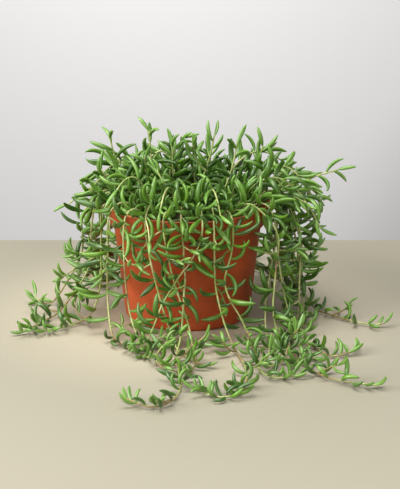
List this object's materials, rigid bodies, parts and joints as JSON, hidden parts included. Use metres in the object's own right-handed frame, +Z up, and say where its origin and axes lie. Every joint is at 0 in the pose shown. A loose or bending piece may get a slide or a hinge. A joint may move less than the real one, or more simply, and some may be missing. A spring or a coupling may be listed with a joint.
{
  "type": "potted string of bananas",
  "caption": "Trailing succulent in a tapered plastic nursery pot: a mound of stems with banana-shaped leaves, and stems that spill over the rim and lie on the surface.",
  "frame": {"origin": "middle of the flat underside of the pot, on the surface it stands on", "axes": "+Z up along the pot's axis, +X to the right and +Y to the back as the plant faces its viewer"},
  "size_m": [0.3503, 0.4595, 0.1884],
  "materials": {
    "pot_plastic": "satin",
    "potting_soil": "matte",
    "foliage": "satin"
  },
  "bodies": {
    "root": {"pot": "pot_plastic", "soil": "potting_soil", "trailing_stem_01": "foliage", "trailing_stem_02": "foliage", "trailing_stem_03": "foliage", "trailing_stem_04": "foliage", "trailing_stem_05": "foliage", "trailing_stem_06": "foliage", "trailing_stem_07": "foliage", "trailing_stem_08": "foliage", "trailing_stem_09": "foliage", "trailing_stem_10": "foliage", "trailing_stem_11": "foliage", "trailing_stem_12": "foliage", "trailing_stem_13": "foliage", "trailing_stem_14": "foliage", "trailing_stem_15": "foliage", "trailing_stem_16": "foliage", "trailing_stem_17": "foliage", "trailing_stem_18": "foliage", "trailing_stem_19": "foliage", "trailing_stem_20": "foliage", "trailing_stem_21": "foliage", "trailing_stem_22": "foliage", "trailing_stem_23": "foliage", "trailing_stem_24": "foliage", "trailing_stem_25": "foliage", "trailing_stem_26": "foliage", "upright_stem_01": "foliage", "upright_stem_02": "foliage", "upright_stem_03": "foliage", "upright_stem_04": "foliage", "upright_stem_05": "foliage", "upright_stem_06": "foliage", "upright_stem_07": "foliage", "upright_stem_08": "foliage", "upright_stem_09": "foliage", "upright_stem_10": "foliage", "upright_stem_11": "foliage", "upright_stem_12": "foliage", "upright_stem_13": "foliage", "upright_stem_14": "foliage", "upright_stem_15": "foliage", "upright_stem_16": "foliage", "upright_stem_17": "foliage", "upright_stem_18": "foliage", "upright_stem_19": "foliage", "upright_stem_20": "foliage", "upright_stem_21": "foliage", "upright_stem_22": "foliage", "upright_stem_23": "foliage", "upright_stem_24": "foliage", "upright_stem_25": "foliage", "upright_stem_26": "foliage", "upright_stem_27": "foliage", "upright_stem_28": "foliage", "upright_stem_29": "foliage", "upright_stem_30": "foliage", "upright_stem_31": "foliage", "upright_stem_32": "foliage"}
  },
  "joints": []
}
